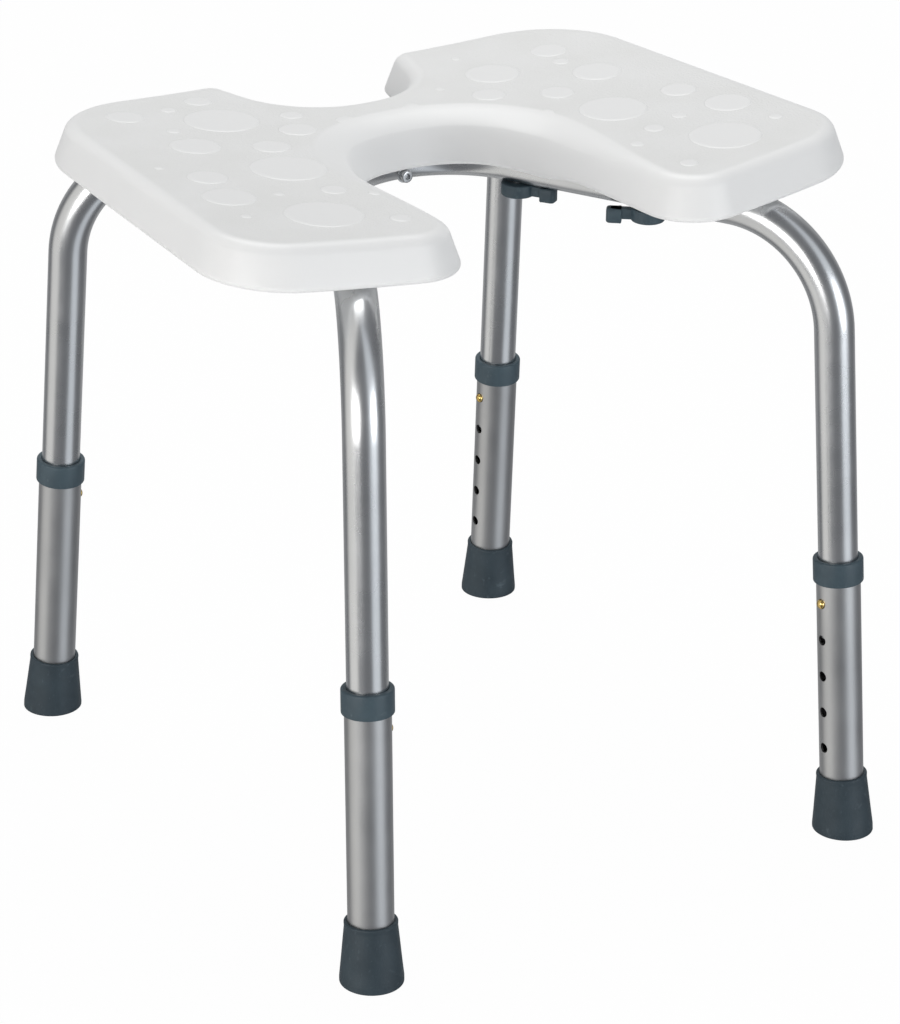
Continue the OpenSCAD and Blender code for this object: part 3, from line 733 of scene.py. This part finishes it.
hub_r = 0.011
hub_h = 0.0085
hub_high = tube_z - tube_r - 0.0004
hub_low = hub_high - hub_h
arm_set = 0.0008
arm_w = 0.0063
pad_w = 0.009
pad_length = 0.01
pad_drop = 0.0018
lever_reach = 0.0265
lever_turns = {"inner": -56, "outer": 142}


def bevelled_slab(name, plan, low, high, edge, place):
    """A flat plan raised between two heights, with all its edges eased."""
    bm = bmesh.new()
    face = bm.faces.new([bm.verts.new((x, y, low)) for x, y in plan])
    raised = bmesh.ops.extrude_face_region(bm, geom=[face])
    bmesh.ops.translate(bm, vec=(0, 0, high - low),
                        verts=[v for v in raised["geom"] if isinstance(v, bmesh.types.BMVert)])
    bmesh.ops.recalc_face_normals(bm, faces=bm.faces)
    rims = [e for e in bm.edges if abs(e.calc_face_angle(0)) > 0.9]
    bmesh.ops.bevel(bm, geom=rims, offset=edge, segments=3, profile=0.5, affect="EDGES")
    mesh = baked(name, bm)
    mesh.transform(place)
    return new_object(name, outward(mesh))


def bar_plan(x0, x1, half_width, corner_r):
    ends = [(x0, -half_width, 0.0005), (x1, -half_width, corner_r),
            (x1, half_width, corner_r), (x0, half_width, 0.0005)]
    return rounded(ends, 8)


for (row_name, side), p in stud_places.items():
    turn = math.radians(lever_turns[row_name])
    if side == "left":
        turn = math.pi - turn
    place = Matrix.Translation((p.x, p.y, 0)) @ Matrix.Rotation(turn, 4, "Z")
    hub = new_object("hub", turned("hub", rounded([
        (0, hub_low, 0), (hub_r, hub_low, 0.0015), (hub_r, hub_high, 0.0008), (0, hub_high, 0)]),
        96, place))
    arm = bevelled_slab("arm", bar_plan(0.002, lever_reach - 0.002, arm_w / 2, 0.002),
                        hub_low + arm_set, hub_high - arm_set, 0.0007, place)
    pad = bevelled_slab("pad", bar_plan(lever_reach - pad_length, lever_reach, pad_w / 2, 0.0028),
                        hub_low - pad_drop, hub_high - arm_set, 0.0012, place)
    bore = drills("bore", [((p.x, p.y, hub_low + 0.002 + 0.01), (0, 0, 1), 0.003, 0.02)])
    cut_with(hub, arm, "UNION")
    cut_with(hub, pad, "UNION")
    cut_with(hub, bore)
    piece(f"lock_lever_{row_name}_{side}", outward(settled(hub, arm, pad, bore)), slate_finish,
          f"lock_{row_name}_{side}", "dark_plastic", f"lever_{row_name}_{side}")
    coat_node(f"stud_{row_name}_{side}", steel_finish)

coat_node("tube_saddle", slate_finish)
coat_node("seat_inserts", brass_finish)


# ---------- Seat ----------
# A blow-moulded seat of white polyethylene, dished across and open at the front. Its top has a
# fine pebbled grain with smooth round bubbles standing a little proud. Grooves below take the
# two tubes, and a lip hangs over them at the closed end of the opening, whose wall swells a
# little where a tube and two inserts pass close behind it.

seat_top = 0.4423
seat_t = 0.0265
seat_dish = 0.0095
dish_reach = 0.2
skirt_draft = math.radians(20)
edge_r = 0.009
rim_r = 0.003
band_w = 0.011
band_fall = 0.003
bay_drop = 0.0057
lip_flat = 0.0012
lip_fade = 8
wall_swell = 0.0028
groove_gap = 0.0002
bolt_room_gap = 0.0005
skin_set = 0.0001
insert_r = 0.00452
insert_h = 0.008
grain_step = 0.0014

# Corners of the right half of the outline from the rear: x, y, radius, share of the sloping band
outline_corners = [
    (0, 0.0955, 0, 0), (0.0505, 0.0955, 0.060, 0), (0.0695, 0.171, 0.010, 0),
    (0.2015, 0.161, 0.070, 0), (0.225, -0.132, 0.042, 0), (0.081, -0.152, 0.028, 0),
    (0.0696, 0.0527, 0.0686, 1), (0, 0.0527, 0, 1)]


def half_outline():
    """Points (x, y), outward normals and band shares of the right half, rear to bay."""
    rows = [((0, outline_corners[0][1]), (0, 1), 0)]
    for i in range(1, len(outline_corners) - 1):
        a, b, c = (np.array(outline_corners[k][:2]) for k in (i - 1, i, i + 1))
        r, share = outline_corners[i][2:]
        u, w = (b - a) / np.linalg.norm(b - a), (c - b) / np.linalg.norm(c - b)
        turn = math.atan2(u[0] * w[1] - u[1] * w[0], u @ w)
        bulge = 1 if turn < 0 else -1
        n = np.array([-u[1], u[0]])
        start = b - u * r * math.tan(abs(turn) / 2)
        centre = start - bulge * r * n
        steps = 3 * max(5, math.ceil(abs(math.degrees(turn)) / 8))
        arc = []
        for k in range(steps + 1):
            t = math.atan2(n[1], n[0]) + turn * k / steps
            d = np.array([math.cos(t), math.sin(t)])
            arc.append((tuple(centre + bulge * r * d), tuple(d), share))
        if i > 1:
            (p, n0, s0), (q, _, s1) = rows[-1], arc[0]
            count = max(1, round(math.dist(p, q) / 0.006))
            for k in range(1, count):
                t = k / count
                rows.append(((p[0] + (q[0] - p[0]) * t, p[1] + (q[1] - p[1]) * t), n0,
                             s0 + (s1 - s0) * t * t * (3 - 2 * t)))
        rows += arc
    return rows + [((0, outline_corners[-1][1]), (0, -1), 1)]


half = half_outline()
whole = half + [((-p[0], p[1]), (-n[0], n[1]), w) for p, n, w in reversed(half[1:-1])]
edge_p = np.array([row_[0] for row_ in whole])
edge_n = np.array([row_[1] for row_ in whole])
edge_w = np.array([row_[2] for row_ in whole])


def dish(x):
    return seat_dish * (x / dish_reach) ** 2


def edge_rings():
    """Rings of the rounded top edge, skirt, bottom rim and bay lip, from the top down."""
    rings = []
    lead = edge_r * math.tan((math.pi / 2 - skirt_draft) / 2)
    bottom = seat_t + bay_drop * edge_w ** lip_fade
    rim = bottom * math.tan(skirt_draft) - rim_r * math.tan((math.pi / 2 + skirt_draft) / 2)
    for k in range(16):
        share = 1 - k / 15
        t = math.pi / 2 - (math.pi / 2 - skirt_draft) * k / 15
        rings.append((-lead + edge_r * math.cos(t) - band_w * edge_w * share,
                      edge_r - edge_r * math.sin(t) + band_fall * edge_w * (1 - share)))
    for k in range(11):
        t = skirt_draft - (math.pi / 2 + skirt_draft) * k / 10
        rings.append((rim + rim_r * math.cos(t), bottom - rim_r - rim_r * math.sin(t)))
    rings += [(rim - lip_flat, bottom), (rim - lip_flat - bay_drop, seat_t)]
    skirt = [(rings[15][0] + (rings[16][0] - rings[15][0]) * s,
              rings[15][1] + (rings[16][1] - rings[15][1]) * s) for s in (0.33, 0.67)]
    rings[16:16] = skirt
    points = []
    near_tube = wall_swell * edge_w * np.exp(-((edge_p[:, 1] - 0.009) / 0.022) ** 2)
    for out, depth in rings:
        out = out - skin_set + near_tube * smooth_step((depth - 0.003) / 0.006)
        q = edge_p + edge_n * out[:, None]
        z = seat_top + dish(q[:, 0]) - depth * np.ones(len(edge_p))
        points.append(np.column_stack([q, z]))
    return points


def edge_gap(points, ring):
    """Distance of points from a closed outline, positive inside it."""
    a, b = ring, np.roll(ring, -1, axis=0)
    ab = b - a
    gaps = []
    for part in np.array_split(points, max(1, len(points) // 4000)):
        ap = part[:, None] - a
        t = np.clip((ap * ab).sum(2) / (ab ** 2).sum(1), 0, 1)
        gap = np.sqrt(((ap - t[..., None] * ab) ** 2).sum(2)).min(1)
        crosses = (a[:, 1] > part[:, 1:2]) != (b[:, 1] > part[:, 1:2])
        with np.errstate(divide="ignore", invalid="ignore"):
            x = a[:, 0] + (part[:, 1:2] - a[:, 1]) / ab[:, 1] * ab[:, 0]
        inside = (crosses & (part[:, :1] < x)).sum(1) % 2 == 1
        gaps.append(np.where(inside, gap, -gap))
    return np.concatenate(gaps)


# Bubbles: x, y and radius in millimetres
bubbles = np.array([
    (-158, 127, 12), (-97, 142, 9), (-124, 132, 5), (-104, 99, 24), (-69, 63, 12),
    (-57, 91, 7.5), (-31, 67, 6.5), (-143, 90, 4.5), (-146, 57, 16), (-102, 39, 12),
    (-115, -4, 24), (-171, -3, 12.5), (-178, -42, 16.5), (-111, -51, 8), (-91, -66, 4),
    (-146, -46, 3.5), (-141, -90, 24), (-102, -113, 6.5), (-187, -78, 3.5), (-81, 10, 5),
    (-190, 23, 3), (123, -10, 22), (150, -94, 23), (186, -48, 15), (155, 55, 16),
    (99, 95, 18), (74, 61, 11), (112, 38, 11), (149, -46, 5), (123, -55, 6.5),
    (98, -72, 4.5), (104, -119, 6), (194, -88, 4.5), (86, 11, 4.5), (148, 87, 5.5),
    (176, -8, 11.5), (154, 110, 12), (96, 135, 3), (54, 89, 3), (20, 70, 5)]) / 1000
bubble_rise = 0.00035
bubble_wall = 0.0008


def bubble_gap(xy):
    """Distance from the nearest bubble's rim, negative inside it."""
    away = np.linalg.norm(xy[:, None] - bubbles[:, :2], axis=2) - bubbles[:, 2]
    return away.min(1)


def smooth_step(t):
    t = np.clip(t, 0, 1)
    return t * t * (3 - 2 * t)


def seat_body():
    """Closed mesh of the seat without its grooves."""
    rings = edge_rings()
    count = len(edge_p)
    verts = np.vstack(rings)
    faces = []
    for k in range(len(rings) - 1):
        for i in range(count):
            n = (i + 1) % count
            faces.append((k * count + n, k * count + i, (k + 1) * count + i, (k + 1) * count + n))
    verts = verts.tolist()

    def cover(ring, step, marks, height, flip):
        low, high = ring.min(0), ring.max(0)
        xs = np.arange(low[0], high[0], step)
        ys = np.arange(low[1], high[1], step * 0.866)
        gx, gy = np.meshgrid(xs, ys)
        gx[1::2] += step / 2
        grid = np.column_stack([gx.ravel(), gy.ravel()])
        if marks:
            grid = grid[np.abs(bubble_gap(grid) + bubble_wall / 2) > bubble_wall / 2 + step * 0.5]
            rims = []
            for x, y, r in bubbles:
                for set_in in (-0.0004, 0, bubble_wall / 2, bubble_wall):
                    a = np.arange(0, math.tau, max(0.0011 / r, 0.05))
                    ring_r = r - set_in
                    rims.append(np.column_stack([x + ring_r * np.cos(a), y + ring_r * np.sin(a)]))
            grid = np.vstack([grid, *rims])
        grid = grid[edge_gap(grid, ring) > step * 0.6]
        plan = np.vstack([ring, grid])
        out = delaunay_2d_cdt([Vector(p) for p in plan], [], [list(range(len(ring)))], 1, 1e-7)
        flat = np.array([tuple(p) for p in out[0]])
        base = len(verts)
        verts.extend(np.column_stack([flat, height(flat)]).tolist())
        for f in out[2]:
            f = [base + i for i in f]
            faces.append(tuple(reversed(f)) if flip else tuple(f))

    top_ring = rings[0][:, :2]

    def top_height(xy):
        rise = smooth_step(-bubble_gap(xy) / bubble_wall) * smooth_step(
            edge_gap(xy, top_ring) / 0.002)
        return seat_top + dish(xy[:, 0]) + bubble_rise * rise

    cover(top_ring, grain_step, True, top_height, False)
    cover(rings[-1][:, :2], 0.012, False, lambda xy: seat_top + dish(xy[:, 0]) - seat_t, True)
    mesh = bpy.data.meshes.new("seat")
    mesh.from_pydata(verts, [], faces)
    return outward(mesh), top_ring


seat_mesh, top_ring = seat_body()
seat_blank = new_object("seat_blank", seat_mesh)
inserts = drills("insert_holes", [
    ((p.x, p.y, tube_z + (tube_r + groove_gap + insert_h) / 2), (0, 0, 1), insert_r,
     tube_r + groove_gap + insert_h) for p in stud_places.values()])
bars = []
for name, apex, s in (("front", front_apex, -1), ("rear", rear_apex, 1)):
    path = [Vector((s * p.x, s * p.y, p.z)) for p in tube_path(apex)]
    bar = swept_bar("groove_" + name, path, tube_r + groove_gap, upper_finish, 96)
    groove_mesh = settled(bar)
    bm = bmesh.new()
    bm.from_mesh(groove_mesh)
    bmesh.ops.holes_fill(bm, edges=[e for e in bm.edges if e.is_boundary])
    bmesh.ops.recalc_face_normals(bm, faces=bm.faces)
    bm.to_mesh(groove_mesh)
    bm.free()
    bars.append(new_object("groove_" + name, groove_mesh))
bolt_room = new_object("bolt_room", turned("bolt_room", [
    (0, -0.02), (head_r + bolt_room_gap, -0.02), (head_r + bolt_room_gap, -bolt_room_gap),
    (washer_r + bolt_room_gap, -bolt_room_gap), (washer_r + bolt_room_gap, tube_r),
    (0, tube_r)], 72, bolt_place))
for cutter in (*bars, inserts, bolt_room):
    cut_with(seat_blank, cutter)
seat_mesh = outward(settled(seat_blank, *bars, inserts, bolt_room))

# Share of grain at each point: full on the open top, none in the bubbles and down the skirt
co = np.empty(len(seat_mesh.vertices) * 3)
seat_mesh.vertices.foreach_get("co", co)
co = co.reshape(-1, 3)
on_top = co[:, 2] > seat_top + dish(co[:, 0]) - 0.002
share = np.zeros(len(co))
share[on_top] = smooth_step(bubble_gap(co[on_top, :2]) / 0.0004) * smooth_step(
    edge_gap(co[on_top, :2], top_ring) / 0.004 + 0.5)
grain_share = seat_mesh.attributes.new("grain_share", "FLOAT", "POINT")
grain_share.data.foreach_set("value", share)

# Pebbled grain: small rounded cells of uneven size, as a height
pebbles, pebbles_in, pebbles_out = shader_group(
    "pebbled_grain", {"Scale": "Float"}, {"Height": "Float"})
pebbles_place = pebbles.nodes.new("ShaderNodeTexCoord")
cells = pebbles.nodes.new("ShaderNodeTexVoronoi")
cells.feature = "SMOOTH_F1"
cells.inputs["Smoothness"].default_value = 0.6
swell = pebbles.nodes.new("ShaderNodeTexNoise")
swell.inputs["Detail"].default_value = 2
node_link(
    pebbles,
    (pebbles_place.outputs["Object"], cells.inputs["Vector"]),
    (pebbles_place.outputs["Object"], swell.inputs["Vector"]),
    (pebbles_in.outputs["Scale"], cells.inputs["Scale"]),
    (tree_math(pebbles, "MULTIPLY", pebbles_in.outputs["Scale"], 0.7), swell.inputs["Scale"]),
    (tree_math(pebbles, "ADD", tree_math(pebbles, "SUBTRACT", 1, cells.outputs["Distance"]),
               swell.outputs["Fac"]), pebbles_out.inputs["Height"]),
)

seat_finish, tree, shader = finish_nodes("white_polyethylene")
tone = placed_group(tree, cloud, Scale=22, Low=0, High=1)
share_node = tree.nodes.new("ShaderNodeAttribute")
share_node.attribute_name = "grain_share"
gloss = tree.nodes.new("ShaderNodeMapRange")
gloss.inputs["To Min"].default_value = 0.42
gloss.inputs["To Max"].default_value = 0.52
grain = placed_group(tree, pebbles, Scale=620)
relief = tree.nodes.new("ShaderNodeBump")
relief.inputs["Strength"].default_value = 0.8
relief.inputs["Distance"].default_value = 0.00022
smooth_skin = tree.nodes.new("ShaderNodeMix")
smooth_skin.data_type = "RGBA"
smooth_skin.inputs["A"].default_value = (0.9, 0.9, 0.89, 1)
node_link(
    tree,
    (colour_mix(tree, tone.outputs["Value"], (0.83, 0.83, 0.815), (0.86, 0.86, 0.85)),
     smooth_skin.inputs["B"]),
    (share_node.outputs["Fac"], smooth_skin.inputs["Factor"]),
    (smooth_skin.outputs["Result"], shader.inputs["Base Color"]),
    (share_node.outputs["Fac"], gloss.inputs["Value"]),
    (gloss.outputs["Result"], shader.inputs["Roughness"]),
    (tree_math(tree, "MULTIPLY", share_node.outputs["Fac"], grain.outputs["Height"]),
     relief.inputs["Height"]),
    (relief.outputs["Normal"], shader.inputs["Normal"]),
)
piece("moulded_seat", seat_mesh, seat_finish, "frame", "seat_plastic", "seat", sharp=50)


# ---------- Studio ----------
# A white floor, clear from below, a soft key lamp overhead and behind, and a weaker one on
# either side. In reflections, floor and backdrop show two tall bright panels, left and right,
# and a dimmer one behind, on grey.

# Azimuth from the front, half width in degrees and colour of each panel
panel_places = ((-107, 24, (0.8, 0.79, 0.765)), (21, 20, (0.69, 0.725, 0.765)),
                (147, 42, (0.42, 0.425, 0.43)))
panel_grey = (0.17, 0.175, 0.185)
panels, panels_in, panels_out = shader_group(
    "studio_panels", {"Direction": "Vector"}, {"Colour": "Color"})
level_out = panels.nodes.new("ShaderNodeVectorMath")
level_out.operation = "MULTIPLY"
level_out.inputs[1].default_value = (1, 1, 0)
unit_out = panels.nodes.new("ShaderNodeVectorMath")
unit_out.operation = "NORMALIZE"
node_link(
    panels,
    (panels_in.outputs["Direction"], level_out.inputs[0]),
    (level_out.outputs["Vector"], unit_out.inputs[0]),
)
glow_sum = None
for azimuth, half_width, colour in panel_places:
    toward = panels.nodes.new("ShaderNodeVectorMath")
    toward.operation = "DOT_PRODUCT"
    toward.inputs[1].default_value = (math.sin(math.radians(azimuth)),
                                      -math.cos(math.radians(azimuth)), 0)
    ramp = panels.nodes.new("ShaderNodeMapRange")
    ramp.interpolation_type = "SMOOTHSTEP"
    ramp.inputs["From Min"].default_value = math.cos(math.radians(half_width * 1.5))
    ramp.inputs["From Max"].default_value = math.cos(math.radians(half_width * 0.6))
    shade = panels.nodes.new("ShaderNodeMix")
    shade.data_type = "RGBA"
    shade.inputs["B"].default_value = (*colour, 1)
    shade.inputs["A"].default_value = (*panel_grey, 1)
    node_link(
        panels,
        (unit_out.outputs["Vector"], toward.inputs[0]),
        (toward.outputs["Value"], ramp.inputs["Value"]),
        (ramp.outputs["Result"], shade.inputs["Factor"]),
    )
    if glow_sum:
        panels.links.new(glow_sum, shade.inputs["A"])
    glow_sum = shade.outputs["Result"]
panels.links.new(glow_sum, panels_out.inputs["Colour"])


def either(tree, share, first, second):
    """One shader or the other, by a share."""
    blend = tree.nodes.new("ShaderNodeMixShader")
    if isinstance(share, tuple):
        share = tree_math(tree, *share)
    node_link(tree, (share, blend.inputs["Fac"]), (first, blend.inputs[1]),
              (second, blend.inputs[2]))
    return blend.outputs["Shader"]


def studio_plane(name, size, location, turn=(0, 0, 0)):
    mesh = bpy.data.meshes.new(name)
    w, h = size[0] / 2, size[1] / 2
    mesh.from_pydata([(-w, -h, 0), (w, -h, 0), (w, h, 0), (-w, h, 0)], [], [(0, 1, 2, 3)])
    obj = new_object(name, mesh)
    obj.location = location
    obj.rotation_euler = turn
    obj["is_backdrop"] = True
    return obj


floor = studio_plane("studio_floor", (14, 14), (0, 0, -0.0002))
floor_finish, tree, shader = finish_nodes("white_floor")
shader.inputs["Base Color"].default_value = (0.86, 0.86, 0.86, 1)
shader.inputs["Roughness"].default_value = 0.9
rays = tree.nodes.new("ShaderNodeLightPath")
glow = tree.nodes.new("ShaderNodeEmission")
mirror_glow = tree.nodes.new("ShaderNodeEmission")
clear = tree.nodes.new("ShaderNodeBsdfTransparent")
view_ray = tree.nodes.new("ShaderNodeNewGeometry")
away = tree.nodes.new("ShaderNodeVectorMath")
away.operation = "SCALE"
away.inputs["Scale"].default_value = -1
room = placed_group(tree, panels)
seen = either(tree, ("MULTIPLY", rays.outputs["Is Camera Ray"], 0.98), shader.outputs["BSDF"],
              glow.outputs["Emission"])
seen = either(tree, rays.outputs["Is Glossy Ray"], seen, mirror_glow.outputs["Emission"])
seen = either(tree, view_ray.outputs["Backfacing"], seen, clear.outputs["BSDF"])
node_link(
    tree,
    (view_ray.outputs["Incoming"], away.inputs[0]),
    (away.outputs["Vector"], room.inputs["Direction"]),
    (room.outputs["Colour"], mirror_glow.inputs["Color"]),
    (seen, tree.nodes["Material Output"].inputs["Surface"]),
)
floor.data.materials.append(floor_finish)


def soft_lamp(name, location, aim, size, watts, colour):
    lamp = bpy.data.lights.new(name, "AREA")
    lamp.shape = "RECTANGLE"
    lamp.size, lamp.size_y = size
    lamp.energy = watts
    lamp.color = colour
    obj = bpy.data.objects.new(name, lamp)
    obj.location = location
    obj.rotation_euler = (Vector(aim) - Vector(location)).to_track_quat("-Z", "Y").to_euler()
    bpy.context.scene.collection.objects.link(obj)
    return obj


soft_lamp("left_lamp", (-2.4, -1.0, 0.6), (0, 0, 0.4), (1.4, 1.1), 26, (1, 0.985, 0.965))
soft_lamp("right_lamp", (0.9, -2.5, 0.6), (0, 0, 0.4), (1.2, 1.1), 17, (0.95, 0.975, 1))
soft_lamp("key_lamp", (0.4, 0.9, 2.6), (0, 0, 0.4), (1.6, 1.6), 32, (1, 1, 0.99))

world = bpy.data.worlds.new("white_studio")
world.use_nodes = True
bpy.context.scene.world = world
tree = world.node_tree
around = tree.nodes["Background"]
around.inputs["Color"].default_value = (0.95, 0.965, 1, 1)
around.inputs["Strength"].default_value = 0.38
white = tree.nodes.new("ShaderNodeBackground")
white.inputs["Color"].default_value = (1, 1, 1, 1)
mirrored = tree.nodes.new("ShaderNodeBackground")
rays = tree.nodes.new("ShaderNodeLightPath")
sky = tree.nodes.new("ShaderNodeTexCoord")
room = placed_group(tree, panels)
seen = either(
    tree, ("MAXIMUM", rays.outputs["Is Camera Ray"], rays.outputs["Is Transmission Ray"]),
    around.outputs["Background"], white.outputs["Background"])
seen = either(tree, rays.outputs["Is Glossy Ray"], seen, mirrored.outputs["Background"])
node_link(
    tree,
    (sky.outputs["Generated"], room.inputs["Direction"]),
    (room.outputs["Colour"], mirrored.inputs["Color"]),
    (seen, tree.nodes["World Output"].inputs["Surface"]),
)
bpy.context.scene.view_settings.view_transform = "Standard"


# ---------- Camera ----------
# A long lens 1.2 m above the floor, ahead and to the left of the stool.

yaw, pitch, roll = math.radians(32.94), math.radians(-24.36), math.radians(0.77)
focal_length = 128.13
forward = Vector((math.sin(yaw) * math.cos(pitch), math.cos(yaw) * math.cos(pitch),
                  math.sin(pitch)))
level = Vector((math.cos(yaw), -math.sin(yaw), 0))
upright = level.cross(forward)
right = level * math.cos(roll) + upright * math.sin(roll)
up = upright * math.cos(roll) - level * math.sin(roll)
camera_data = bpy.data.cameras.new("camera")
camera_data.lens = focal_length
camera_data.sensor_width = 36
camera_data.shift_x = 0.002
camera_data.shift_y = -0.0011
camera = bpy.data.objects.new("camera", camera_data)
camera.matrix_world = Matrix.Translation((-1.1808, -1.8332, 1.1748)) @ Matrix(
    (right, up, -forward)).transposed().to_4x4()
bpy.context.scene.collection.objects.link(camera)
bpy.context.scene.camera = camera

low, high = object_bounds()
